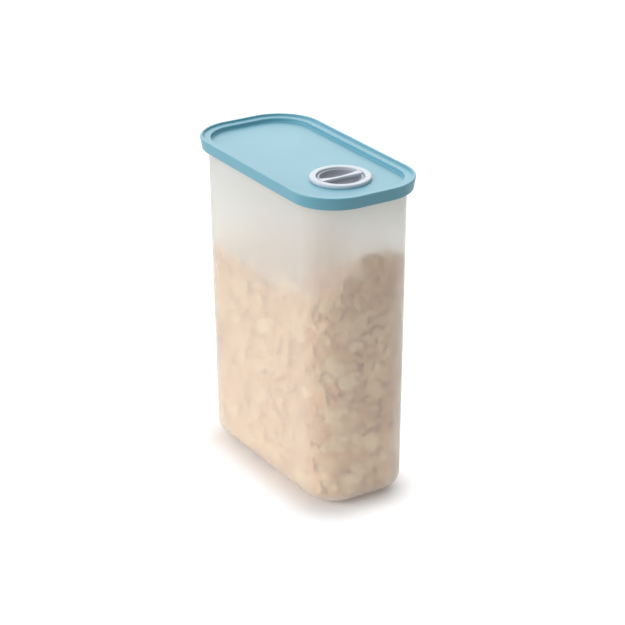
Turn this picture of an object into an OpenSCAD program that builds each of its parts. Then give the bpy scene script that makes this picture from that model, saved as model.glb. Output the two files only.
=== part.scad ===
// Tall oblong cereal container: a frosted tub, a recessed snap lid and a round
// flip spout that turns on two pins, with a heap of cereal in the tub.
// Millimetres, +Z up, origin at the centre of the face that it stands on, +X
// towards the end that pours.

/* [Tub] */
// Length of the tub's outside wall, just under the lid
tub_length = 183; // [160:1:230]
// Width of the tub's outside wall, just under the lid
tub_width = 87; // [80:1:110]
// Height of the tub's rim above the surface that it stands on
tub_height = 248.7; // [180:0.1:300]
// Radius of the tub's upright corners, outside, just under the lid
tub_corner = 29.5; // [29:0.1:38]
// Thickness of the tub's wall and floor
tub_wall = 1.8; // [1.4:0.1:2.2]
// How far each wall leans in on its way down to the base
tub_draft = 2.7; // [1:0.1:4]
// Radius of the rounded edge round the base
base_round = 9; // [7:0.1:10]
// Height of the foot that lifts the base off the table
foot_height = 2; // [1:0.1:3]
// Width of the foot's standing face
foot_width = 2.5; // [2:0.1:3.5]
// How far the foot widens on each side where it meets the base
foot_flare = 0.5; // [0.2:0.1:0.8]
// How far the rim steps outwards to take the lid
rim_step = 2.1; // [1.9:0.1:2.4]
// Height of the step's lower end above the skirt's lower edge
rim_step_lift = 0.5; // [0.3:0.1:0.8]
// How far the bead stands out from the rim
rim_bead = 1; // [0.5:0.1:1.1]
// Height of the bead
rim_bead_height = 1.6; // [1:0.1:1.8]

/* [Lid] */
// How far the lid's top edge overhangs the tub's wall on each side
lid_overhang = 6.5; // [6.3:0.1:8]
// Height of the lid from the skirt's lower edge to the top
lid_height = 9.5; // [8.8:0.1:12]
// Thickness of the lid
lid_wall = 1.6; // [1.3:0.1:1.9]
// How far the skirt tucks in at its lower edge
skirt_tuck = 1.4; // [0.8:0.1:1.5]
// Width of the raised ridge round the lid's edge
ridge_width = 2; // [1.8:0.1:2.6]
// Height of the ridge above the ledge inside it
ridge_height = 1.5; // [0.8:0.1:2]
// Depth of the centre panel below the ledge
panel_depth = 3; // [2.6:0.1:3.4]
// Radius that breaks the lid's visible edges
edge_break = 0.8; // [0.3:0.1:0.9]
// Thickness of the rib that guides the lid into the tub
guide_rib = 1.4; // [1:0.1:1.8]
// Depth of the guide rib below the panel
guide_rib_depth = 4.4; // [2:0.1:6]
// Thickness of the lid's gasket
gasket_thickness = 1.15; // [0.8:0.05:1.6]

/* [Spout] */
// Distance of the spout's centre from the end of the lid that pours
spout_from_end = 49; // [44:0.5:58]
// Radius of the throat that the contents pour through
throat_radius = 18; // [15:0.1:21]
// Thickness of the neck round the throat
neck_wall = 2.6; // [2.2:0.1:3]
// Length of the neck below the lid's panel
neck_length = 9.5; // [8.6:0.1:12]
// Width of the ring's flange outside the neck
flange_width = 2.4; // [1.8:0.1:4]
// Height of the ring above the lid's panel
flange_height = 2.4; // [1.8:0.1:2.6]
// Height of the pivot axis below the top of the ring
pivot_drop = 4.1; // [4.1:0.1:4.6]
// Thickness of the washer under the lid
washer_thickness = 0.8; // [0.6:0.1:1.2]
// Height of the retaining ring
retainer_height = 4; // [3:0.1:4.4]
// Width of the retaining ring's rim outside the neck
retainer_width = 4.4; // [3:0.1:6]
// Number of finger notches round the retaining ring
retainer_notches = 6; // [3:1:10]
// Radius of each notch
notch_radius = 1.1; // [0.6:0.1:1.4]
// How far the neck's snap bead stands out
snap_bead = 0.9; // [0.5:0.1:1.2]
// Width of the stop under the pouring half of the disc
stop_width = 1.6; // [1:0.1:1.8]
// Thickness of that stop
stop_thickness = 1.2; // [0.8:0.1:1.4]
// Gap along the disc between the stop's ends and the disc's turning edge
stop_setback = 1; // [0.8:0.1:2]

/* [Flip disc] */
// Height of the disc's edge above the pivot axis
disc_up = 2.9; // [2.8:0.05:3]
// Height of the disc's edge below the pivot axis
disc_down = 3.2; // [2.8:0.1:3.4]
// Thickness of the disc's floor under the finger wells
disc_floor = 1.6; // [1.2:0.1:1.8]
// Width of the rim round the finger wells
disc_rim = 2; // [1.9:0.1:2.4]
// Thickness of the disc's seal
seal_thickness = 0.8; // [0.6:0.05:0.9]
// Depth of the groove that holds the seal
seal_depth = 1.1; // [0.8:0.05:1.1]
// Thickness of the disc above the seal's groove
seal_cover = 0.6; // [0.5:0.05:0.7]
// Width of the grip bar at its waist
bar_waist = 2.8; // [2.4:0.1:3.4]
// Width of the grip bar at its two ends
bar_end = 6.8; // [5.6:0.1:8]
// Depth of the dip in the middle of the bar's top
bar_dip = 0.8; // [0.2:0.1:0.9]
// Height of the bar's wings above the disc's edge
bar_rise = 1; // [0.9:0.05:1.1]
// Thickness of the disc's rib over the bores of the pins
rib_cover = 0.2; // [0.15:0.05:0.3]
// Distance of each of the bar's two pegs from the middle of the bar
peg_place = 7; // [5:0.1:8]
// Radius of each peg
peg_radius = 0.8; // [0.6:0.1:0.9]
// Depth of each peg in the disc's rib
peg_depth = 2; // [1:0.1:2.2]
// Diameter of the two pivot pins
pin_diameter = 2; // [1.6:0.1:2.1]
// Length of each pivot pin
pin_length = 7.4; // [6.6:0.1:7.6]
// Distance of each pin's outer end inside the neck's face
pin_inset = 0.3; // [0.2:0.05:0.5]

/* [Cereal] */
// Distance from the tub's rim down to the top of the heap
heap_headroom = 58.7; // [45:0.1:150]
// How far the heap climbs towards the end that pours
heap_rise = 28; // [5:1:50]
// Length of that climb
heap_slope = 60; // [30:1:90]
// How far the heap drops towards the long side at -Y
heap_side_drop = 22; // [5:1:40]
// Width of that drop
heap_side_slope = 24; // [15:1:40]

/* [Clearances] */
// Gap between the heap and the wall of the tub
heap_clearance = 0.5; // [0.3:0.1:1]
// Gap between the lid's plug and the rim of the tub
plug_clearance = 0.4; // [0.3:0.05:0.6]
// Gap between the guide rib and the wall of the tub
guide_clearance = 0.6; // [0.4:0.05:0.9]
// Gap between the gasket and the rim of the tub
gasket_clearance = 0.05; // [0.02:0.01:0.1]
// Gap between the gasket's two edges and the lid
gasket_side_gap = 0.2; // [0.1:0.05:0.4]
// Gap between the neck and the pieces that go round it
neck_clearance = 0.2; // [0.1:0.05:0.4]
// Gap between the disc and the throat
disc_clearance = 0.35; // [0.3:0.05:0.5]
// Gap between the seal's lip and the throat
seal_clearance = 0.25; // [0.2:0.05:0.3]
// Gap between the grip bar's ends and the throat
bar_clearance = 0.6; // [0.55:0.05:0.8]
// Gap between the grip bar's core and the wall of the wells, and under its pegs
bar_fit_gap = 0.2; // [0.1:0.05:0.3]
// Gap between the disc and its stop
stop_clearance = 0.25; // [0.2:0.05:0.4]
// Radial gap between a pivot pin and its bore in the disc
pin_clearance = 0.05; // [0.03:0.01:0.08]
// Gap between a pivot pin's inner end and the end of its bore
pin_end_gap = 0.4; // [0.2:0.1:0.6]
// Radial gap between a pivot pin and its seat in the neck
pin_seat_clearance = 0.01; // [0.005:0.005:0.02]

/* [Hidden] */

// Facets of a large and of a small round
round_fn = 128;
small_fn = 48;
// Amount by which a cutting shape runs past what it cuts
past = 1;
// Facets on the heap's slopes
slope_steps = 8;
// Facets on a quarter of a broken edge, and the radius of the finer ones
edge_steps = 4;
fine_break = edge_break / 2;

// Corner axes of the plan: every outline is an offset from this rectangle
span_x = tub_length - 2 * tub_corner;
span_y = tub_width - 2 * tub_corner;

// Lid, from the tub's rim upwards
ledge_under = tub_height + gasket_clearance + gasket_thickness;
ledge_top = ledge_under + lid_wall;
lid_top = ledge_top + ridge_height;
skirt_foot = lid_top - lid_height;
panel_top = ledge_top - panel_depth;
panel_under = panel_top - lid_wall;
lid_corner = tub_corner + lid_overhang;
lid_end = tub_length / 2 + lid_overhang;

// Tub wall
base_under = foot_height;
base_centre_z = base_under + base_round;
floor_top = base_under + tub_wall;
wall_low = tub_corner - tub_draft;
foot_outer = wall_low - base_round - tub_wall;
step_start = skirt_foot + rim_step_lift;
// Height that a slanted wall of even thickness gains from outside to inside
step_mitre = tub_wall * tan(22.5);
rim_outer = tub_corner + rim_step;
rim_inner = rim_outer - tub_wall;

// Heap of cereal
heap_top = tub_height - heap_headroom;
heap_low = heap_top - heap_rise;
heap_side = heap_top - heap_side_drop;
heap_wall_low = wall_low - tub_wall - heap_clearance;
heap_wall_high = heap_wall_low + tub_draft * (heap_top - base_centre_z) / (skirt_foot - base_centre_z);
// The slopes end halfway out to the tub's wall
slope_end_x = (span_x + tub_corner) / 2;
slope_end_y = (span_y + tub_corner) / 2;

// Lid plan offsets
plug_outer = rim_inner - plug_clearance;
plug_inner = plug_outer - lid_wall;
guide_outer = tub_corner - tub_wall - guide_clearance;
skirt_lean = skirt_tuck / (lid_height - edge_break);

// Spout place, levels and radii
spout_x = lid_end - spout_from_end;
ring_top = panel_top + flange_height;
pivot_z = ring_top - pivot_drop;
neck_radius = throat_radius + neck_wall;
neck_foot = panel_top - neck_length;
neck_hole = neck_radius + neck_clearance;
flange_radius = neck_radius + flange_width;
retainer_top = panel_under - washer_thickness;
retainer_foot = retainer_top - retainer_height;
retainer_radius = neck_radius + retainer_width;
washer_radius = retainer_radius - neck_clearance;
stop_top = pivot_z - disc_down - stop_clearance;
// Distance of the stop's ends from the pivot axis
stop_start = disc_down + stop_setback;

// Flip disc
disc_radius = throat_radius - disc_clearance;
well_radius = disc_radius - disc_rim;
well_floor = pivot_z - disc_down + disc_floor;
seal_centre = pivot_z + disc_up - seal_cover - seal_thickness / 2;
groove_radius = disc_radius - seal_depth;
pin_radius = pin_diameter / 2;
pin_bore = pin_radius + pin_clearance;
pin_outer_end = neck_radius - pin_inset;
pin_inner_end = pin_outer_end - pin_length;
rib_top = pivot_z + pin_bore + rib_cover;
bar_radius = throat_radius - bar_clearance;
bar_top = pivot_z + disc_up + bar_rise;

// ---------------------------------------------------------------- outlines

// Points of an arc, anticlockwise when to is more than from
function arc(cx, cy, r, from, to, steps) =
    [for (i = [0:steps]) let (a = from + (to - from) * i / steps) [cx + r * cos(a), cy + r * sin(a)]];

// Radius of the circle whose edge bows out by rise over a half chord
function bow_radius(half_chord, rise) = (half_chord * half_chord + rise * rise) / (2 * rise);

// Sweeps an upright profile round the plan.  The profile's x is the distance
// outwards from the corner axes and its y is the height.
module sweep_plan() {
    for (sx = [0, 1]) {
        for (sy = [0, 1]) {
            mirror([sx, 0, 0]) mirror([0, sy, 0])
                translate([span_x / 2, span_y / 2, 0])
                    rotate_extrude(angle = 90, $fn = round_fn) children();
        }
    }
    for (s = [0, 1]) {
        mirror([0, s, 0])
            translate([-span_x / 2, span_y / 2, 0])
                rotate([90, 0, 90]) linear_extrude(span_x) children();
        mirror([s, 0, 0])
            translate([span_x / 2, span_y / 2, 0])
                rotate([90, 0, 0]) linear_extrude(span_y) children();
    }
}

// Fills the plan inside the corner axes between two heights
module plan_core(low, high) {
    translate([-span_x / 2, -span_y / 2, low]) cube([span_x, span_y, high - low]);
}

// Turns a profile about the spout's upright axis
module turn_spout() {
    translate([spout_x, 0, 0]) rotate_extrude($fn = round_fn) children();
}

// Outline of the grip: wide at both ends with a waist between
module grip_outline(radius) {
    rise = (bar_end - bar_waist) / 2;
    side = bow_radius(throat_radius, rise);
    difference() {
        circle(radius, $fn = round_fn);
        for (s = [-1, 1]) {
            translate([s * (side + bar_waist / 2), 0]) circle(side, $fn = 2 * round_fn);
            translate([s * (bar_end / 2 + radius), 0]) square(2 * radius, center = true);
        }
    }
}

// ---------------------------------------------------------------- tub

module tub_profile() {
    difference() {
        union() {
            translate([wall_low - base_round, base_centre_z]) circle(base_round, $fn = round_fn);
            polygon([
                [0, base_under],
                [wall_low - base_round, base_under],
                [wall_low, base_centre_z],
                [tub_corner, skirt_foot],
                [tub_corner, step_start],
                [rim_outer, step_start + rim_step],
                [rim_outer, tub_height - rim_bead_height],
                [rim_outer + rim_bead, tub_height - rim_bead_height + rim_bead / 2],
                [rim_outer + rim_bead, tub_height - fine_break],
                [rim_outer + rim_bead - fine_break, tub_height],
                [0, tub_height]
            ]);
        }
        translate([wall_low - base_round, base_centre_z]) circle(base_round - tub_wall, $fn = round_fn);
        polygon([
            [-past, floor_top],
            [wall_low - base_round, floor_top],
            [wall_low - tub_wall, base_centre_z],
            [tub_corner - tub_wall, skirt_foot],
            [tub_corner - tub_wall, step_start + step_mitre],
            [rim_inner, step_start + step_mitre + rim_step],
            [rim_inner, tub_height + past],
            [-past, tub_height + past]
        ]);
    }
}

module container_body() {
    color([0.86, 0.87, 0.85, 0.6]) {
        sweep_plan() tub_profile();
        plan_core(base_under, floor_top);
        sweep_plan() polygon([
            [foot_outer - foot_width, 0],
            [foot_outer, 0],
            [foot_outer + foot_flare, base_under + tub_wall / 2],
            [foot_outer - foot_width - foot_flare, base_under + tub_wall / 2]
        ]);
    }
}

// ---------------------------------------------------------------- lid

// Place of the skirt's outer face at a height
function skirt_face(z) = lid_corner - skirt_lean * (lid_top - edge_break - z);

module lid_profile() {
    ridge_in = lid_corner - ridge_width;
    polygon(concat(
        [[skirt_face(skirt_foot), skirt_foot]],
        arc(lid_corner - edge_break, lid_top - edge_break, edge_break, 0, 90, edge_steps),
        arc(ridge_in + fine_break, lid_top - fine_break, fine_break, 90, 180, edge_steps),
        [[ridge_in, ledge_top]],
        arc(plug_inner + edge_break, ledge_top - edge_break, edge_break, 90, 180, edge_steps),
        arc(plug_inner - edge_break, panel_top + edge_break, edge_break, 0, -90, edge_steps),
        [[0, panel_top], [0, panel_under]],
        [[guide_outer - guide_rib, panel_under], [guide_outer - guide_rib, panel_under - guide_rib_depth]],
        [[guide_outer, panel_under - guide_rib_depth], [guide_outer, panel_under]],
        [[plug_outer, panel_under], [plug_outer, ledge_under]],
        [[skirt_face(ledge_under) - lid_wall, ledge_under]],
        [[skirt_face(skirt_foot) - lid_wall, skirt_foot]]
    ));
}

module lid() {
    color([0.60, 0.79, 0.85])
        difference() {
            union() {
                sweep_plan() lid_profile();
                plan_core(panel_under, panel_top);
            }
            translate([spout_x, 0, panel_under - past])
                cylinder(lid_wall + 2 * past, r = neck_hole, $fn = round_fn);
        }
}

module lid_gasket() {
    color([0.85, 0.87, 0.88])
        sweep_plan()
            translate([plug_outer + gasket_side_gap, ledge_under - gasket_thickness])
                square([
                    skirt_face(tub_height) - lid_wall - plug_outer - 2 * gasket_side_gap,
                    gasket_thickness
                ]);
}

// ---------------------------------------------------------------- spout

// Pivot holes or pins on the axis across the lid, between two distances from it
module across_pivot(radius, near, far, sides = [-1, 1]) {
    for (s = sides) {
        translate([spout_x, s * near, pivot_z])
            rotate([-90 * s, 0, 0]) cylinder(far - near, r = radius, $fn = small_fn);
    }
}

module spout_ring() {
    bead_z = retainer_foot;
    color([0.95, 0.96, 0.97])
        difference() {
            union() {
                turn_spout() polygon(concat(
                    [[throat_radius, neck_foot], [neck_radius - snap_bead / 2, neck_foot]],
                    [[neck_radius, neck_foot + snap_bead / 2], [neck_radius, bead_z - 2 * snap_bead]],
                    [[neck_radius + snap_bead, bead_z - snap_bead / 2], [neck_radius + snap_bead, bead_z]],
                    [[neck_radius, bead_z], [neck_radius, panel_top], [flange_radius, panel_top]],
                    arc(flange_radius - flange_height / 2, panel_top + flange_height / 2,
                        flange_height / 2, 0, 90, 2 * edge_steps),
                    arc(throat_radius + edge_break, ring_top - edge_break, edge_break, 90, 180, edge_steps)
                ));
                intersection() {
                    turn_spout()
                        translate([throat_radius - stop_width, stop_top - stop_thickness])
                            square([stop_width + neck_wall / 2, stop_thickness]);
                    translate([spout_x + stop_start, -neck_radius, neck_foot])
                        cube([neck_radius, 2 * neck_radius, neck_length]);
                }
            }
            across_pivot(pin_radius + pin_seat_clearance, throat_radius - past, neck_radius + past);
        }
}

module spout_washer() {
    color([0.80, 0.82, 0.83])
        translate([spout_x, 0, retainer_top])
            difference() {
                cylinder(washer_thickness, r = washer_radius, $fn = round_fn);
                translate([0, 0, -past])
                    cylinder(washer_thickness + 2 * past, r = neck_hole, $fn = round_fn);
            }
}

module spout_retainer() {
    color([0.92, 0.93, 0.94])
        difference() {
            turn_spout() polygon([
                [neck_hole, retainer_foot],
                [retainer_radius - edge_break, retainer_foot],
                [retainer_radius, retainer_foot + edge_break],
                [retainer_radius, retainer_top],
                [neck_hole, retainer_top]
            ]);
            for (i = [0:retainer_notches - 1]) {
                translate([spout_x, 0, retainer_foot - past])
                    rotate(i * 360 / retainer_notches)
                        translate([retainer_radius, 0, 0])
                            cylinder(retainer_height + 2 * past, r = notch_radius, $fn = small_fn);
            }
        }
}

module pivot_pin_left() {
    color([0.78, 0.79, 0.80]) across_pivot(pin_radius, pin_inner_end, pin_outer_end, [-1]);
}

module pivot_pin_right() {
    color([0.78, 0.79, 0.80]) across_pivot(pin_radius, pin_inner_end, pin_outer_end, [1]);
}

// ---------------------------------------------------------------- flip disc

module flip_disc() {
    disc_top = pivot_z + disc_up;
    color([0.55, 0.57, 0.60])
        difference() {
            intersection() {
                translate([spout_x, 0, pivot_z]) sphere(disc_radius, $fn = round_fn);
                translate([spout_x, 0, pivot_z - disc_down])
                    cylinder(disc_up + disc_down, r = throat_radius, $fn = round_fn);
            }
            // Two finger wells, with the grip's rib left between them
            translate([spout_x, 0, well_floor])
                linear_extrude(disc_up + disc_down) difference() {
                    circle(well_radius, $fn = round_fn);
                    grip_outline(throat_radius);
                }
            // The rib stops under the grip bar
            translate([spout_x, 0, rib_top])
                cylinder(disc_up + disc_down, r = well_radius, $fn = round_fn);
            // Groove for the seal
            turn_spout()
                translate([groove_radius, seal_centre - seal_thickness / 2])
                    square([seal_depth + past, seal_thickness]);
            across_pivot(pin_bore, pin_inner_end - pin_end_gap, throat_radius);
            for (s = [-1, 1]) {
                translate([spout_x, s * peg_place, rib_top - peg_depth - bar_fit_gap])
                    cylinder(peg_depth + past, r = peg_radius, $fn = small_fn);
            }
        }
}

module disc_seal() {
    lip_radius = throat_radius - seal_clearance;
    root_radius = disc_radius - disc_clearance;
    lip_half = seal_thickness / 6;
    color([0.88, 0.89, 0.90])
        turn_spout() polygon([
            [groove_radius, seal_centre - seal_thickness / 2],
            [root_radius, seal_centre - seal_thickness / 2],
            [lip_radius, seal_centre - lip_half],
            [lip_radius, seal_centre + lip_half],
            [root_radius, seal_centre + seal_thickness / 2],
            [groove_radius, seal_centre + seal_thickness / 2]
        ]);
}

module grip_bar() {
    dip = bow_radius(bar_radius, bar_dip);
    color([0.96, 0.97, 0.98])
        difference() {
            union() {
                // Between the wells, on the rib
                translate([spout_x, 0, rib_top])
                    linear_extrude(bar_top - rib_top) grip_outline(well_radius - bar_fit_gap);
                // Wings over the disc's rim
                translate([spout_x, 0, pivot_z + disc_up])
                    linear_extrude(bar_rise) grip_outline(bar_radius);
                for (s = [-1, 1]) {
                    translate([spout_x, s * peg_place, rib_top - peg_depth])
                        cylinder(peg_depth + bar_rise, r = peg_radius, $fn = small_fn);
                }
            }
            // The long shallow dip along its top
            translate([spout_x, 0, bar_top - bar_dip + dip])
                rotate([0, 90, 0])
                    cylinder(2 * bar_end, r = dip, center = true, $fn = 4 * round_fn);
        }
}

// ---------------------------------------------------------------- cereal

// Everything under a line that climbs gently between two places
module under_slope(from, to, low, high) {
    polygon(concat(
        [[-tub_length, 0], [-tub_length, low]],
        [for (i = [0:slope_steps])
            let (t = i / slope_steps) [from + (to - from) * t, low + (high - low) * (1 - cos(180 * t)) / 2]],
        [[tub_length, high], [tub_length, 0]]
    ));
}

module cereal_fill() {
    color([0.85, 0.68, 0.48])
        intersection() {
            union() {
                sweep_plan() polygon([
                    [0, floor_top],
                    [wall_low - base_round - heap_clearance, floor_top],
                    [heap_wall_low, base_centre_z],
                    [heap_wall_high, heap_top],
                    [0, heap_top]
                ]);
                plan_core(floor_top, heap_top);
            }
            // Lower away from the end that pours
            rotate([90, 0, 0]) linear_extrude(tub_width, center = true)
                under_slope(slope_end_x - heap_slope, slope_end_x, heap_low, heap_top);
            // Lower along the long side at -Y
            rotate([90, 0, 90]) linear_extrude(tub_length, center = true)
                under_slope(-slope_end_y, heap_side_slope - slope_end_y, heap_side, heap_top);
        }
}

container_body();
lid();
lid_gasket();
spout_ring();
spout_washer();
spout_retainer();
pivot_pin_left();
pivot_pin_right();
flip_disc();
disc_seal();
grip_bar();
cereal_fill();
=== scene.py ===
"""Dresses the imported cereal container: a frosted tub of flakes, a blue lid and a flip spout.

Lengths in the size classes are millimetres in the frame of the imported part.  Everything handed to
Blender is in metres.
"""

import logging
import math
import random
from collections.abc import Callable, Iterator, Sequence
from dataclasses import dataclass, field
from enum import Enum
from functools import cached_property

import bmesh
import bpy
from mathutils import Euler, Matrix, Vector


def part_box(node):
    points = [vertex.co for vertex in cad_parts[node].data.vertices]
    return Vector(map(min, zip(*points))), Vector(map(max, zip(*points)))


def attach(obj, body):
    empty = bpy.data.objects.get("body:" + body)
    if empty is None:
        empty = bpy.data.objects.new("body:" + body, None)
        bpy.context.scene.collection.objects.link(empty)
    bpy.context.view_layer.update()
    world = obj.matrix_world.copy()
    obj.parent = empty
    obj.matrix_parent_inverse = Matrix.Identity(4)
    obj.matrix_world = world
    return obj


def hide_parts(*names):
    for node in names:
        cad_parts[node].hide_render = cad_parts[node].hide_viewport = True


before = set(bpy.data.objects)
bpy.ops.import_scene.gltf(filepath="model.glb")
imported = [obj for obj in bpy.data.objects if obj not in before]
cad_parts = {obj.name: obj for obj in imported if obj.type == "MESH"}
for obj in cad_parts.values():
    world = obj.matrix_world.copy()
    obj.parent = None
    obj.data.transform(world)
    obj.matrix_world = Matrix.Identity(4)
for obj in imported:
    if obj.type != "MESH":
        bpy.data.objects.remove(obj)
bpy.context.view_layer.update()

log = logging.getLogger("container")

Profile = list[tuple[float, float]]
Finish = bpy.types.Material
Thing = bpy.types.Object
Tree = bpy.types.NodeTree
Socket = bpy.types.NodeSocket
Range = tuple[float, float]

QUARTER = math.pi / 2
MM_PER_METRE = 1000.0
MERGE_DISTANCE = 2e-6  # metres
NEAR = 0.01  # millimetres
SMOOTH_ANGLE = math.radians(32)
ROUND_STEPS = 128
NORMAL_WEIGHT = 80
CLOUD_DETAIL = 2.0
GRAIN_DETAIL = 1.0
WHITE = (1.0, 1.0, 1.0, 1.0)
TOASTING = "toasting"  # vertex attribute of the cereal


class Body(Enum):
    """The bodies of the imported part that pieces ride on."""

    CONTAINER = "container"
    LID = "lid_assembly"
    DISC = "disc_assembly"


class Slot(Enum):
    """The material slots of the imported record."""

    TUB = "frosted_tub"
    LID = "lid_blue"
    SPOUT = "spout_white"
    DISC = "disc_grey"
    CEREAL = "cereal"


# ---------------------------------------------------------------- geometry helpers


def mm(value: float) -> float:
    """Millimetres in metres."""
    return value / MM_PER_METRE


def in_mm(value: float) -> float:
    """Metres in millimetres."""
    return value * MM_PER_METRE


def arc(cx: float, cy: float, radius: float, start: float, end: float, steps: int) -> Profile:
    """Points of an arc, both ends included.

    Args:
        cx: First coordinate of the centre.
        cy: Second coordinate of the centre.
        radius: Radius of the arc.
        start: Start angle in degrees.
        end: End angle in degrees, less than start for a clockwise arc.
        steps: Number of stretches between the points.

    Returns:
        The points in order.
    """
    turns = [math.radians(start + (end - start) * i / steps) for i in range(steps + 1)]
    return [(cx + radius * math.cos(turn), cy + radius * math.sin(turn)) for turn in turns]


def clear_selection() -> None:
    """Leaves edit mode and deselects every object."""
    if bpy.context.object is not None and bpy.context.object.mode != "OBJECT":
        bpy.ops.object.mode_set(mode="OBJECT")
    bpy.ops.object.select_all(action="DESELECT")


def make_active(thing: Thing) -> None:
    """Selects one object alone and makes it the active one."""
    clear_selection()
    thing.select_set(True)
    bpy.context.view_layer.objects.active = thing


def rename(thing: Thing, name: str) -> None:
    """Names an object and its mesh alike."""
    thing.name = name
    thing.data.name = name


def trace(name: str, points: Sequence[Vector]) -> Thing:
    """Draws a chain of edges by extruding one vertex, and stays in edit mode.

    Args:
        name: Name of the new piece.
        points: Places of the chain's vertices, in millimetres.

    Returns:
        The new object, in edit mode with its whole mesh selected.
    """
    clear_selection()
    bpy.ops.mesh.primitive_plane_add(size=mm(1), location=(0, 0, 0))
    thing = bpy.context.object
    rename(thing, name)
    bpy.ops.object.mode_set(mode="EDIT")
    bpy.ops.mesh.merge(type="CENTER")
    bpy.ops.transform.translate(value=points[0] * mm(1))
    for last, point in zip(points, points[1:]):
        step = (point - last) * mm(1)
        bpy.ops.mesh.extrude_vertices_move(TRANSFORM_OT_translate={"value": step})
    bpy.ops.mesh.select_all(action="SELECT")
    return thing


def pick(thing: Thing, test: Callable[[Vector], bool]) -> None:
    """Selects the vertices of a mesh in edit mode whose places, in millimetres, pass a test."""
    bpy.ops.mesh.select_all(action="DESELECT")
    mesh = bmesh.from_edit_mesh(thing.data)
    for vertex in mesh.verts:
        if test(vertex.co * MM_PER_METRE):
            vertex.select_set(True)
    mesh.select_flush_mode()
    bmesh.update_edit_mesh(thing.data)


def close_mesh() -> None:
    """Merges the doubles of the mesh in edit mode, turns its faces outwards and leaves edit mode."""
    bpy.ops.mesh.select_all(action="SELECT")
    bpy.ops.mesh.remove_doubles(threshold=MERGE_DISTANCE)
    bpy.ops.mesh.normals_make_consistent(inside=False)
    bpy.ops.object.mode_set(mode="OBJECT")


def apply_modifier(thing: Thing, kind: str, **settings: object) -> None:
    """Adds a modifier to an object, sets it and applies it."""
    make_active(thing)
    modifier = thing.modifiers.new(kind.title(), kind)
    for key, value in settings.items():
        setattr(modifier, key, value)
    bpy.ops.object.modifier_apply(modifier=modifier.name)


def cut(thing: Thing, cutter: Thing, operation: str = "DIFFERENCE") -> None:
    """Combines a piece with a cutter, which is used up."""
    apply_modifier(thing, "BOOLEAN", object=cutter, operation=operation, solver="EXACT")
    bpy.data.objects.remove(cutter)
    make_active(thing)
    bpy.ops.object.mode_set(mode="EDIT")
    bpy.ops.mesh.select_all(action="SELECT")
    bpy.ops.mesh.remove_doubles(threshold=MERGE_DISTANCE)
    bpy.ops.mesh.dissolve_degenerate(threshold=MERGE_DISTANCE)
    bpy.ops.object.mode_set(mode="OBJECT")


def rod(
    radius: float, length: float, x: float, z: float, steps: int = ROUND_STEPS, turn_x: float = 0.0
) -> Thing:
    """Adds a round rod on the plane Y = 0, with its sizes and its place in millimetres.

    Args:
        radius: Radius of the rod.
        length: Length of the rod.
        x: Place of its middle along the lid.
        z: Height of its middle.
        steps: Number of faces round it.
        turn_x: Turn about X in radians; without one it stands upright.

    Returns:
        The rod.
    """
    clear_selection()
    bpy.ops.mesh.primitive_cylinder_add(
        vertices=steps,
        radius=mm(radius),
        depth=mm(length),
        location=(mm(x), 0.0, mm(z)),
        rotation=(turn_x, 0.0, 0.0),
    )
    return bpy.context.object


def smooth(thing: Thing, angle: float = SMOOTH_ANGLE) -> None:
    """Shades a finished mesh smooth up to an angle, with its large faces kept true."""
    make_active(thing)
    bpy.ops.object.shade_smooth_by_angle(angle=angle)
    apply_modifier(thing, "WEIGHTED_NORMAL", keep_sharp=True, weight=NORMAL_WEIGHT)


def place(thing: Thing, body: Body, slot: Slot, finish: Finish, *nodes: str) -> None:
    """Gives a piece its finish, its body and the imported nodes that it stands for."""
    thing.data.materials.clear()
    thing.data.materials.append(finish)
    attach(thing, body.value)
    if nodes:
        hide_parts(*nodes)
    log.info("%s: %d faces on %s", thing.name, len(thing.data.polygons), body.value)


def dress_node(node: str, finish: Finish) -> None:
    """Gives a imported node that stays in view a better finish."""
    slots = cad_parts[node].data.materials
    slots.clear()
    slots.append(finish)
    log.info("%s: packed node dressed", node)


# ---------------------------------------------------------------- the shared plan


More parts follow.
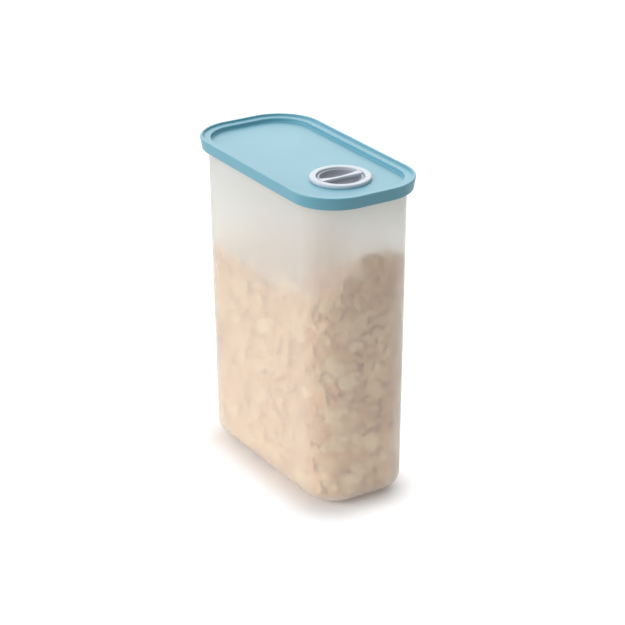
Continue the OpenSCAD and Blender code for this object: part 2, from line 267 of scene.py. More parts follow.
@dataclass(frozen=True)
class Plan:
    """The rounded oblong that tub and lid share.

    Every outline is a distance outwards from the rectangle of the four corner axes.
    """

    lid_corner: float = 36.0
    corner_steps: int = 24

    @cached_property
    def half_x(self) -> float:
        """Half the distance between the corner axes along the lid."""
        low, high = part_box("lid")
        return in_mm(high.x - low.x) / 2 - self.lid_corner

    @cached_property
    def half_y(self) -> float:
        """Half the distance between the corner axes across the lid."""
        low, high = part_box("lid")
        return in_mm(high.y - low.y) / 2 - self.lid_corner

    def sweep(self, name: str, profile: Profile) -> Thing:
        """Sweeps an upright profile once round the plan by spin and extrude.

        Args:
            name: Name of the new piece.
            profile: Points as (distance from the corner axes, height) in millimetres.

        Returns:
            The new object, in edit mode, with its first and last profile merged.
        """
        x, y = self.half_x, self.half_y
        thing = trace(name, [Vector((x + out, y, up)) for out, up in profile])
        legs = (
            ((x, y), (-2 * x, 0.0)),
            ((-x, y), (0.0, -2 * y)),
            ((-x, -y), (2 * x, 0.0)),
            ((x, -y), (0.0, 2 * y)),
        )
        for (cx, cy), (dx, dy) in legs:
            centre = (mm(cx), mm(cy), 0.0)
            bpy.ops.mesh.spin(steps=self.corner_steps, angle=-QUARTER, center=centre, axis=(0, 0, 1))
            bpy.ops.mesh.extrude_region_move(TRANSFORM_OT_translate={"value": (mm(dx), mm(dy), 0.0)})
        bpy.ops.mesh.select_all(action="SELECT")
        bpy.ops.mesh.remove_doubles(threshold=MERGE_DISTANCE)
        return thing

    def outward(self, place_mm: Vector) -> tuple[float, float]:
        """The part of a place that lies outside the rectangle of the corner axes."""
        past_x = max(abs(place_mm.x) - self.half_x, 0.0)
        past_y = max(abs(place_mm.y) - self.half_y, 0.0)
        return math.copysign(past_x, place_mm.x), math.copysign(past_y, place_mm.y)

    def offset(self, place_mm: Vector) -> float:
        """Distance of a place outwards from the rectangle of the corner axes."""
        return math.hypot(*self.outward(place_mm))

    def cap(self, thing: Thing, core: float, *levels: float) -> None:
        """Closes a swept mesh in edit mode with flat faces, and leaves edit mode.

        Args:
            thing: The swept mesh.
            core: Distance from the corner axes of the edge that each face fills.
            levels: Heights of the faces.
        """
        for level in levels:
            pick(thing, lambda co: abs(co.z - level) < NEAR and self.offset(co) < core + NEAR)
            bpy.ops.mesh.edge_face_add()
        close_mesh()


def turn(name: str, axis_x: float, profile: Profile) -> Thing:
    """Turns a profile all the way round an upright axis.

    Args:
        name: Name of the new piece.
        axis_x: Place of the axis along X, in millimetres.
        profile: Points as (radius, height) in millimetres.

    Returns:
        The finished closed mesh, in object mode.
    """
    thing = trace(name, [Vector((axis_x + radius, 0.0, up)) for radius, up in profile])
    centre = (mm(axis_x), 0.0, 0.0)
    bpy.ops.mesh.spin(steps=ROUND_STEPS, angle=4 * QUARTER, center=centre, axis=(0, 0, 1))
    close_mesh()
    return thing


# ---------------------------------------------------------------- materials


def linear(code: str) -> tuple[float, float, float, float]:
    """Turns an sRGB hex colour such as "#A0C4D0" into the linear colour that shaders take."""
    channels = [int(code[i : i + 2], 16) / 255.0 for i in (1, 3, 5)]
    curve = [c / 12.92 if c <= 0.04045 else ((c + 0.055) / 1.055) ** 2.4 for c in channels]
    return (curve[0], curve[1], curve[2], 1.0)


def add_node(tree: Tree, kind: str, inputs: dict, **settings: object) -> bpy.types.Node:
    """Adds a shader node, sets its properties and fills or links its inputs.

    Args:
        tree: Node tree of the material or world.
        kind: Type of the node, such as "Mix".
        inputs: Input sockets by name or index, each a value or an output socket to link.
        settings: Properties of the node by name.

    Returns:
        The new node.
    """
    node = tree.nodes.new("ShaderNode" + kind)
    for key, value in settings.items():
        setattr(node, key, value)
    for key, value in inputs.items():
        if isinstance(value, Socket):
            tree.links.new(value, node.inputs[key])
        else:
            node.inputs[key].default_value = value
    return node


def noise(tree: Tree, place_of: Socket, size_mm: float, detail: float = CLOUD_DETAIL) -> Socket:
    """Noise from 0 to 1 whose features are that many millimetres wide."""
    inputs = {"Vector": place_of, "Scale": MM_PER_METRE / size_mm, "Detail": detail}
    return add_node(tree, "TexNoise", inputs).outputs["Fac"]


def spread(tree: Tree, value: Socket, low: float, high: float) -> Socket:
    """Stretches a value from 0 to 1 over the range from low to high."""
    return add_node(tree, "MapRange", {"Value": value, "To Min": low, "To Max": high}).outputs["Result"]


def around(tree: Tree, value: Socket, middle: float, reach: float) -> Socket:
    """Stretches a value from 0 to 1 over a range about its middle."""
    return spread(tree, value, middle - reach, middle + reach)


def blend(tree: Tree, share: Socket, first: str, second: str) -> Socket:
    """Mixes two sRGB hex colours."""
    inputs = {"Factor": share, "A": linear(first), "B": linear(second)}
    return add_node(tree, "Mix", inputs, data_type="RGBA").outputs["Result"]


def larger(tree: Tree, first: Socket, second: Socket) -> Socket:
    """The larger of two values."""
    return add_node(tree, "Math", {0: first, 1: second}, operation="MAXIMUM").outputs[0]


def relief(tree: Tree, height: Socket, depth_mm: float, strength: float) -> Socket:
    """A normal that is roughened by a pattern of that many millimetres' depth."""
    inputs = {"Strength": strength, "Distance": mm(depth_mm), "Height": height}
    return add_node(tree, "Bump", inputs).outputs["Normal"]


def node_material(name: str, shade: Callable[[Tree, Socket], Socket]) -> Finish:
    """Makes a node material.

    Args:
        name: Name of the finish.
        shade: Adds the nodes, given the tree and its Object coordinates, and returns the shader.

    Returns:
        The material.
    """
    material = bpy.data.materials.new(name)
    material.use_nodes = True
    tree = material.node_tree
    tree.nodes.clear()
    place_of = add_node(tree, "TexCoord", {}).outputs["Object"]
    add_node(tree, "OutputMaterial", {"Surface": shade(tree, place_of)})
    return material


def principled(tree: Tree, inputs: dict) -> Socket:
    """The shader of a surface with those inputs."""
    return add_node(tree, "BsdfPrincipled", inputs).outputs["BSDF"]


@dataclass(frozen=True)
class Recipe:
    """A named finish that is built as a node material."""

    name: str

    def build(self) -> Finish:
        """Makes the material."""
        return node_material(self.name, self.shade)

    def shade(self, tree: Tree, place_of: Socket) -> Socket:
        """Adds the nodes of the finish and gives its shader."""
        raise NotImplementedError


@dataclass(frozen=True)
class MouldedPlastic(Recipe):
    """Injection-moulded plastic from a finely eroded tool: an even satin with a slow drift of tone."""

    colour: str
    drift_colour: str
    roughness: float
    ior: float = 1.49
    drift_mm: float = 45.0
    drift_gloss: float = 0.05
    grain_mm: float = 0.9
    grain_depth_mm: float = 0.02
    grain_strength: float = 0.6
    subsurface: float = 0.0
    subsurface_mm: float = 3.0

    def shade(self, tree: Tree, place_of: Socket) -> Socket:
        """Adds the nodes of the finish and gives its shader."""
        drift = noise(tree, place_of, self.drift_mm)
        grain = noise(tree, place_of, self.grain_mm, GRAIN_DETAIL)
        inputs = {
            "Base Color": blend(tree, drift, self.colour, self.drift_colour),
            "Roughness": around(tree, drift, self.roughness, self.drift_gloss),
            "IOR": self.ior,
            "Normal": relief(tree, grain, self.grain_depth_mm, self.grain_strength),
            "Subsurface Weight": self.subsurface,
            "Subsurface Radius": (1.0, 1.0, 1.0),
            "Subsurface Scale": mm(self.subsurface_mm),
        }
        return principled(tree, inputs)


@dataclass(frozen=True)
class FrostedPlastic(Recipe):
    """Natural polypropylene, moulded with a frosted face: it veils what it holds in a milky haze.

    Lamps and scattered light pass its thin wall freely, as they do the real one.
    """

    name: str = "frosted_polypropylene"
    colour: str = "#F4F5F2"
    veil: str = "#F1F2EE"
    roughness: float = 0.38
    ior: float = 1.49
    see_through: float = 0.79
    glow: float = 0.2
    passed: float = 0.99
    cloud_mm: float = 30.0
    cloud_haze: float = 0.04
    grain_mm: float = 0.8
    grain_depth_mm: float = 0.02
    grain_strength: float = 0.5

    def shade(self, tree: Tree, place_of: Socket) -> Socket:
        """Adds the nodes of the finish and gives its shader."""
        cloud = noise(tree, place_of, self.cloud_mm)
        grain = noise(tree, place_of, self.grain_mm, GRAIN_DETAIL)
        normal = relief(tree, grain, self.grain_depth_mm, self.grain_strength)
        inputs = {
            "Base Color": linear(self.colour),
            "Roughness": around(tree, cloud, self.roughness, self.cloud_haze),
            "IOR": self.ior,
            "Transmission Weight": self.see_through,
            "Normal": normal,
        }
        lit = add_node(tree, "BsdfTranslucent", {"Color": linear(self.veil), "Normal": normal})
        layers = {0: self.glow, 1: principled(tree, inputs), 2: lit.outputs["BSDF"]}
        milky = add_node(tree, "MixShader", layers)
        rays = add_node(tree, "LightPath", {}).outputs
        light = larger(tree, rays["Is Shadow Ray"], rays["Is Diffuse Ray"])
        clear = (self.passed, self.passed, self.passed, 1.0)
        passing = add_node(tree, "BsdfTransparent", {"Color": clear}).outputs["BSDF"]
        shared = add_node(tree, "MixShader", {0: light, 1: milky.outputs["Shader"], 2: passing})
        return shared.outputs["Shader"]


@dataclass(frozen=True)
class SpringSteel(Recipe):
    """Drawn steel wire for the pins: bright, with the faint marks of the die along it."""

    name: str = "drawn_steel"
    colour: str = "#C4C6C8"
    roughness: float = 0.28
    mark_mm: float = 0.4
    mark_gloss: float = 0.08

    def shade(self, tree: Tree, place_of: Socket) -> Socket:
        """Adds the nodes of the finish and gives its shader."""
        marks = noise(tree, place_of, self.mark_mm)
        inputs = {
            "Base Color": linear(self.colour),
            "Roughness": around(tree, marks, self.roughness, self.mark_gloss),
            "Metallic": 1.0,
        }
        return principled(tree, inputs)


@dataclass(frozen=True)
class ToastedFlake(Recipe):
    """Toasted corn flakes: dry and matt, blistered, each flake with its own depth of toasting."""

    name: str = "toasted_flakes"
    pale: str = "#FDDCAC"
    toasted: str = "#D98F4A"
    roughness: float = 0.75
    blister_mm: float = 1.6
    blister_depth_mm: float = 0.35
    blister_strength: float = 0.8
    patch_mm: float = 9.0
    patch_detail: float = 3.0
    patch_share: float = 0.5

    def shade(self, tree: Tree, place_of: Socket) -> Socket:
        """Adds the nodes of the finish and gives its shader."""
        patch = noise(tree, place_of, self.patch_mm, self.patch_detail)
        own = add_node(tree, "Attribute", {}, attribute_name=TOASTING).outputs["Fac"]
        depth = add_node(tree, "Math", {0: patch, 1: self.patch_share, 2: own}, operation="MULTIPLY_ADD")
        blisters = noise(tree, place_of, self.blister_mm)
        inputs = {
            "Base Color": blend(tree, depth.outputs[0], self.pale, self.toasted),
            "Roughness": self.roughness,
            "Normal": relief(tree, blisters, self.blister_depth_mm, self.blister_strength),
        }
        return principled(tree, inputs)


BLUE_LID = MouldedPlastic("blue_polypropylene", "#6AAABC", "#64A4B7", 0.42, ior=1.56, subsurface=0.1)
WHITE_SPOUT = MouldedPlastic("white_polypropylene", "#C9D2DA", "#C4CDD7", 0.38)
GREY_DISC = MouldedPlastic("grey_polypropylene", "#A8ABB5", "#A2A6B0", 0.45)
SOFT_SEAL = MouldedPlastic("silicone_seal", "#DADDDE", "#D2D6D8", 0.6, ior=1.41)


# ---------------------------------------------------------------- tub


@dataclass
class Tub:
    """The frosted tub: one wall that leans in to a rounded base on a low foot."""

    plan: Plan
    corner: float = 29.5
    wall: float = 1.8
    draft: float = 2.7
    base_round: float = 9.0
    wall_start: float = 4.0
    wall_end: float = 1.0
    early_draft: float = 0.02
    foot_height: float = 2.0
    foot_width: float = 2.5
    foot_round: float = 0.6
    foot_flare: float = 0.5
    skirt_foot: float = 243.5
    step_lift: float = 0.5
    rim_step: float = 2.1
    rim_bead: float = 1.0
    bead_height: float = 1.6
    edge: float = 0.4
    core: float = 6.0

    @cached_property
    def rim_top(self) -> float:
        """Height of the rim."""
        return in_mm(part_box("container_body")[1].z)

    @property
    def base_axis(self) -> tuple[float, float]:
        """Centre of the rounding between wall and base."""
        return self.corner - self.draft - self.base_round, self.foot_height + self.base_round

    @property
    def floor_top(self) -> float:
        """Height of the floor inside."""
        return self.foot_height + self.wall

    def foot_profile(self) -> Profile:
        """The foot under the base, from the middle outwards."""
        outer = self.base_axis[0] - self.wall
        inner = outer - self.foot_width
        r = self.foot_round
        return [
            (inner - self.foot_flare - r, self.foot_height),
            *arc(inner - self.foot_flare, self.foot_height - r, r, 90, 20, 3),
            *arc(inner + r, r, r, 190, 270, 4),
            *arc(outer - r, r, r, 270, 350, 4),
            *arc(outer + self.foot_flare, self.foot_height - r, r, 160, 90, 3),
        ]

    def outer_profile(self) -> Profile:
        """The outside from the base's rounding up to the rim's outer edge."""
        cx, cz = self.base_axis
        low = self.corner - self.draft
        step = self.skirt_foot + self.step_lift
        rim = self.corner + self.rim_step
        top = self.rim_top
        bead = rim + self.rim_bead
        return [
            *arc(cx, cz, self.base_round, -90, 0, 12),
            (low + self.draft * self.early_draft, cz + self.wall_start),
            (self.corner, self.skirt_foot - self.wall_end),
            (self.corner, step),
            (rim, step + self.rim_step),
            (rim, top - self.bead_height),
            (bead, top - self.bead_height + self.rim_bead / 2),
            *arc(bead - self.edge, top - self.edge, self.edge, 0, 90, 4),
        ]

    def inner_profile(self) -> Profile:
        """The inside from the rim's inner edge down to the floor's rounding."""
        cx, cz = self.base_axis
        mitre = self.wall * math.tan(QUARTER / 4)
        step = self.skirt_foot + self.step_lift + mitre
        rim = self.corner + self.rim_step - self.wall
        wall = self.corner - self.wall
        return [
            *arc(rim + self.edge, self.rim_top - self.edge, self.edge, 90, 180, 4),
            (rim, step + self.rim_step),
            (wall, step),
            (wall, self.skirt_foot - self.wall_end),
            (wall - self.draft * (1.0 - self.early_draft), cz + self.wall_start),
            *arc(cx, cz, self.base_round - self.wall, 0, -90, 12),
        ]

    def inner_offset(self, height: float) -> float:
        """Distance of the inside wall from the corner axes at a height."""
        cx, cz = self.base_axis
        inside = self.base_round - self.wall
        if height < cz:
            rise = min(cz - height, inside)
            return cx + math.sqrt(inside * inside - rise * rise)
        share = min((height - cz) / (self.skirt_foot - cz), 1.0)
        return cx + inside + self.draft * share

    def build(self, finish: Finish) -> None:
        """Makes the tub.

        Args:
            finish: The frosted material.
        """
        under = (self.core, self.foot_height)
        inside = (self.core, self.floor_top)
        profile = [under, *self.foot_profile(), *self.outer_profile(), *self.inner_profile(), inside]
        tub = self.plan.sweep("tub", profile)
        self.plan.cap(tub, self.core, self.foot_height, self.floor_top)
        smooth(tub)
        place(tub, Body.CONTAINER, Slot.TUB, finish, "container_body")


# ---------------------------------------------------------------- lid


@dataclass
class Lid:
    """The blue lid: a raised ridge round the edge, a ledge and a sunk panel with the spout's hole."""

    plan: Plan
    tub: Tub
    wall: float = 1.6
    height: float = 9.5
    tuck: float = 1.4
    ridge_width: float = 2.0
    ridge_height: float = 1.5
    panel_depth: float = 3.0
    edge: float = 0.8
    plug_gap: float = 0.4
    rib_gap: float = 0.6
    rib: float = 1.4
    rib_depth: float = 4.4
    core: float = 22.0
    hole_radius: float = 20.8
    drill_length: float = 20.0

    @cached_property
    def top(self) -> float:
        """Height of the ridge."""
        return in_mm(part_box("lid")[1].z)

    @property
    def panel_top(self) -> float:
        """Height of the sunk panel."""
        return self.top - self.ridge_height - self.panel_depth

    @cached_property
    def spout_x(self) -> float:
        """Place of the spout's axis along the lid."""
        low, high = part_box("spout_ring")
        return in_mm(low.x + high.x) / 2

    def skirt_face(self, height: float) -> float:
        """Distance of the skirt's outside from the corner axes at a height."""
        lean = self.tuck / (self.height - self.edge)
        return self.plan.lid_corner - lean * (self.top - self.edge - height)

    def profile(self) -> Profile:
        """The lid's section, from the panel's top over the edge to the panel's underside."""
        ledge = self.top - self.ridge_height
        under = ledge - self.wall
        panel = self.panel_top
        panel_under = panel - self.wall
        foot = self.top - self.height
        ridge_in = self.plan.lid_corner - self.ridge_width
        plug_outer = self.tub.corner + self.tub.rim_step - self.tub.wall - self.plug_gap
        plug = plug_outer - self.wall
        rib_outer = self.tub.corner - self.tub.wall - self.rib_gap
        rib_inner = rib_outer - self.rib
        rib_foot = panel_under - self.rib_depth
        e = self.edge
        h = e / 2
        skirt_in = self.skirt_face(foot) - self.wall
        return [
            (self.core, panel),
            *arc(plug - e, panel + e, e, -90, 0, 6),
            *arc(plug + e, ledge - e, e, 180, 90, 6),
            *arc(ridge_in - h, ledge + h, h, -90, 0, 4),
            *arc(ridge_in + h, self.top - h, h, 180, 90, 5),
            *arc(self.plan.lid_corner - e, self.top - e, e, 90, 0, 8),
            *arc(self.skirt_face(foot) - h, foot + h, h, 0, -90, 4),
            *arc(skirt_in + h, foot + h, h, -90, -180, 3),
            (self.skirt_face(under) - self.wall, under),
            (plug_outer, under),
            (plug_outer, panel_under),
            (rib_outer, panel_under),
            *arc(rib_outer - h, rib_foot + h, h, 0, -90, 3),
            *arc(rib_inner + h, rib_foot + h, h, -90, -180, 3),
            (rib_inner, panel_under),
            (self.core, panel_under),
        ]

    def build(self, finish: Finish) -> None:
        """Makes the lid.

        Args:
            finish: The blue material.
        """
        lid = self.plan.sweep("lid_shell", self.profile())
        self.plan.cap(lid, self.core, self.panel_top, self.panel_top - self.wall)
        cut(lid, rod(self.hole_radius, self.drill_length, self.spout_x, self.panel_top))
        smooth(lid)
        place(lid, Body.LID, Slot.LID, finish, "lid")


# ---------------------------------------------------------------- spout


@dataclass
class SpoutRing:
    """The white ring that clips into the lid and carries the disc's pins."""

    lid: Lid
    throat: float = 18.0
    neck_wall: float = 2.6
    neck_length: float = 9.5
    flange_width: float = 2.4
    flange_height: float = 2.4
    chamfer: float = 0.3
    lip: float = 0.8
    bead: float = 0.9
    bead_level: float = 242.1
    stop_top: float = 243.35
    stop_thickness: float = 1.2
    stop_width: float = 1.6
    stop_start: float = 4.2
    pin_radius: float = 1.01
    pin_level: float = 246.8
    pin_steps: int = 32
    cutter: float = 60.0

    def profile(self) -> Profile:
        """The ring's section, round from the foot of the throat."""
        panel = self.lid.panel_top
        top = panel + self.flange_height
        foot = panel - self.neck_length
        neck = self.throat + self.neck_wall
        flange = neck + self.flange_width
        half = self.flange_height / 2
        return [
            (self.throat, foot),
            (neck - self.bead / 2, foot),
            (neck, foot + self.bead / 2),
            (neck, self.bead_level - 2 * self.bead),
            (neck + self.bead, self.bead_level - self.bead / 2),
            (neck + self.bead, self.bead_level),
            (neck, self.bead_level),
            (neck, panel),
            (flange - self.chamfer, panel),
            (flange, panel + self.chamfer),
            *arc(flange - half, panel + half, half, 10, 90, 8),
            *arc(self.throat + self.lip, top - self.lip, self.lip, 90, 180, 6),
            (self.throat, foot),
        ]

    def build(self, finish: Finish) -> None:
        """Makes the ring with its half ledge and its pin seats.

        Args:
            finish: The white material.
        """
        x = self.lid.spout_x
        ring = turn("spout_ring_white", x, self.profile())
        inner = self.throat - self.stop_width
        outer = self.throat + self.neck_wall / 2
        low = self.stop_top - self.stop_thickness
        top = self.stop_top
        ledge = turn("stop", x, [(inner, low), (outer, low), (outer, top), (inner, top), (inner, low)])
        clear_selection()
        middle = (mm(x + self.stop_start - self.cutter / 2), 0, mm(low))
        bpy.ops.mesh.primitive_cube_add(size=mm(self.cutter), location=middle)
        cut(ledge, bpy.context.object)
        cut(ring, ledge, "UNION")
        cut(ring, rod(self.pin_radius, self.cutter, x, self.pin_level, self.pin_steps, QUARTER))
        smooth(ring)
        place(ring, Body.LID, Slot.SPOUT, finish, "spout_ring")


@dataclass
class FlipDisc:
    """The grey disc: part of a ball, with a half-moon finger well on each side of a waisted rib."""

    ring: SpoutRing
    gap: float = 0.35
    up: float = 2.9
    down: float = 3.2
    floor: float = 1.6
    rim: float = 2.0
    step: float = 0.2
    edge_width: float = 0.3
    edge_drop: float = 0.25
    foot_width: float = 0.4
    foot_rise: float = 0.35
    belly: float = 1.5
    seal_cover: float = 0.6
    seal_height: float = 0.8
    seal_depth: float = 1.1
    rib_top: float = 248.05
    waist: float = 2.8
    end_width: float = 6.8
    corner: float = 2.2
    fillet: float = 1.6
    cutter_over: float = 1.0
    cutter_height: float = 10.0

    @property
    def radius(self) -> float:
        """Radius of the ball."""
        return self.ring.throat - self.gap

    @property
    def side_radius(self) -> float:
        """Radius of the arc along each side of the rib."""
        rise = (self.end_width - self.waist) / 2
        half = self.ring.throat
        return (half * half + rise * rise) / (2 * rise)

    @property
    def top(self) -> float:
        """Height of the disc's edge."""
        return self.ring.pin_level + self.up

    def half_width(self, along: float) -> float:
        """Half the rib's width at a distance along it from its middle."""
        side = self.side_radius
        return self.waist / 2 + side - math.sqrt(side * side - along * along)

    def profile(self) -> Profile:
        """The solid disc's section, with the seal's groove."""
        pivot = self.ring.pin_level
        high = self.top
        low = pivot - self.down
        groove_top = high - self.seal_cover
        groove_low = groove_top - self.seal_height
        groove = self.radius - self.seal_depth

        def at(level: float) -> tuple[float, float]:
            """Point of the ball's outside at a height."""
            return math.sqrt(self.radius**2 - (level - pivot) ** 2), level

        edge = at(high - self.edge_drop)
        return [
            (0.0, low),
            (at(low)[0] - self.foot_width, low),
            at(low + self.foot_rise),
            at(pivot - self.belly),
            at(pivot),
            at(groove_low),
            (groove, groove_low),
            (groove, groove_top),
            at(groove_top),
            edge,
            (edge[0] - self.edge_width, high),
            (0.0, high),
        ]

    def well_outline(self, inset: float) -> Profile:
        """Outline of the well on the +X side: a lens with rounded tips.

        Args:
            inset: Distance inwards from the well's wall.

        Returns:
            Points about the spout's axis, anticlockwise.
        """
        far = self.radius - self.rim - self.step - inset
        near = self.side_radius - inset
        tip = self.corner - inset
        hub = self.side_radius + self.waist / 2
        along = ((far - tip) ** 2 - (near - tip) ** 2 + hub * hub) / (2 * hub)
        across = math.sqrt((far - tip) ** 2 - along * along)
        out = math.degrees(math.atan2(across, along))
        side = math.degrees(math.atan2(across, along - hub))
        return [
            *arc(0.0, 0.0, far, -out, out, 40)[:-1],
            *arc(along, across, tip, out, side, 8)[:-1],
            *arc(hub, 0.0, near, side, 360 - side, 32)[:-1],
            *arc(along, -across, tip, 360 - side, 360 - out, 8)[:-1],
        ]

    def well_cutter(self, side: int) -> Thing:
        """Makes the solid that hollows one well, with a rounded floor.

        Args:
            side: 1 for the well towards +X, -1 for the other one.

        Returns:
            The cutter.
        """
        x = self.ring.lid.spout_x
        floor = self.ring.pin_level - self.down + self.floor
        lip = self.top + self.cutter_over
        outline = self.well_outline(0.0)
        ring = [Vector((x + side * px, side * py, lip)) for px, py in [*outline, outline[0]]]
        cutter = trace("well", ring)
        bpy.ops.mesh.remove_doubles(threshold=MERGE_DISTANCE)
        bpy.ops.mesh.edge_face_add()
        down = (0.0, 0.0, mm(floor + self.fillet - lip))
        bpy.ops.mesh.extrude_region_move(TRANSFORM_OT_translate={"value": down})
        past = 0.0
        for px, pz in arc(0.0, 0.0, self.fillet, 0, 90, 6)[1:]:
            inset = self.fillet - px
            bpy.ops.mesh.inset(thickness=mm(inset - past), depth=0.0)
            past = inset
            lift = mm(floor + self.fillet - pz) - self.lowest(cutter)
            bpy.ops.transform.translate(value=(0.0, 0.0, lift))
        pick(cutter, lambda co: co.z > lip - NEAR)
        bpy.ops.mesh.edge_face_add()
        close_mesh()
        return cutter

    @staticmethod
    def lowest(thing: Thing) -> float:
        """Height of the lowest vertex of a mesh in edit mode, in metres."""
        return min(vertex.co.z for vertex in bmesh.from_edit_mesh(thing.data).verts)

    def build(self, finish: Finish) -> None:
        """Makes the disc.

        Args:
            finish: The grey material.
        """
        x = self.ring.lid.spout_x
        disc = turn("flip_disc_grey", x, self.profile())
        height = self.cutter_height
        cut(disc, rod(self.radius - self.rim, height, x, self.rib_top + height / 2))
        for side in (-1, 1):
            cut(disc, self.well_cutter(side))
        smooth(disc)
        place(disc, Body.DISC, Slot.DISC, finish, "flip_disc")


@dataclass
class GripBar:
    """The white bar across the disc: waisted, dipped along its top and wide at both ends."""

    disc: FlipDisc
    end_gap: float = 0.6
    rise: float = 1.0
    dip: float = 0.8
    block: float = 2.0
    slices: int = 18
    edge: float = 0.4
    edge_steps: int = 3

    def build(self, finish: Finish) -> None:
        """Makes the bar from a long block: slices set its waist and dip, and its edges are rounded.

        Args:
            finish: The white material.
        """
        x = self.disc.ring.lid.spout_x
        reach = self.disc.ring.throat - self.end_gap
        high = self.disc.top + self.rise
        low = self.disc.rib_top
        clear_selection()
        bpy.ops.mesh.primitive_cube_add(size=mm(self.block), location=(0, 0, 0))
        bar = bpy.context.object
        rename(bar, "grip_bar_white")
        bpy.ops.object.mode_set(mode="EDIT")
        half = self.block / 2
        bpy.ops.transform.resize(value=(1.0, reach / half, (high - low) / 2 / half))
        bpy.ops.transform.translate(value=(0.0, 0.0, mm((high + low) / 2)))
        pick(bar, lambda co: True)
        self.split_along(bar)
        stations = sorted({round(in_mm(v.co.y), 4) for v in bmesh.from_edit_mesh(bar.data).verts})
        for along in stations:
            self.shape_slice(bar, along, reach)
        close_mesh()
        apply_modifier(bar, "BEVEL", width=mm(self.edge), segments=self.edge_steps, limit_method="ANGLE")
        bar.data.transform(Matrix.Translation((mm(x), 0.0, 0.0)))
        smooth(bar)
        place(bar, Body.DISC, Slot.SPOUT, finish, "grip_bar")

    def split_along(self, bar: Thing) -> None:
        """Cuts the block in edit mode into slices along its length."""
        mesh = bmesh.from_edit_mesh(bar.data)
        bpy.ops.mesh.select_all(action="DESELECT")
        bpy.ops.mesh.select_mode(type="EDGE")
        for edge in mesh.edges:
            ends = [v.co.y for v in edge.verts]
            edge.select_set(abs(ends[0] - ends[1]) > mm(NEAR))
        bmesh.update_edit_mesh(bar.data)
        bpy.ops.mesh.subdivide(number_cuts=self.slices - 1)
        bpy.ops.mesh.select_mode(type="VERT")

    def shape_slice(self, bar: Thing, along: float, reach: float) -> None:
        """Sets the width and the dip of one slice.

        Args:
            bar: The bar in edit mode, centred on X = 0.
            along: Place of the slice along Y.
            reach: Half the bar's length.
        """
        width = self.disc.half_width(along)
        drop = self.dip * (1 - (along / reach) ** 2)
        pick(bar, lambda co: abs(co.y - along) < NEAR)
        bpy.ops.transform.resize(value=(width, 1.0, 1.0), center_override=(0.0, 0.0, 0.0))
        pick(bar, lambda co: abs(co.y - along) < NEAR and co.z > self.disc.rib_top + NEAR)
        bpy.ops.transform.translate(value=(0.0, 0.0, -mm(drop)))


# ---------------------------------------------------------------- contents


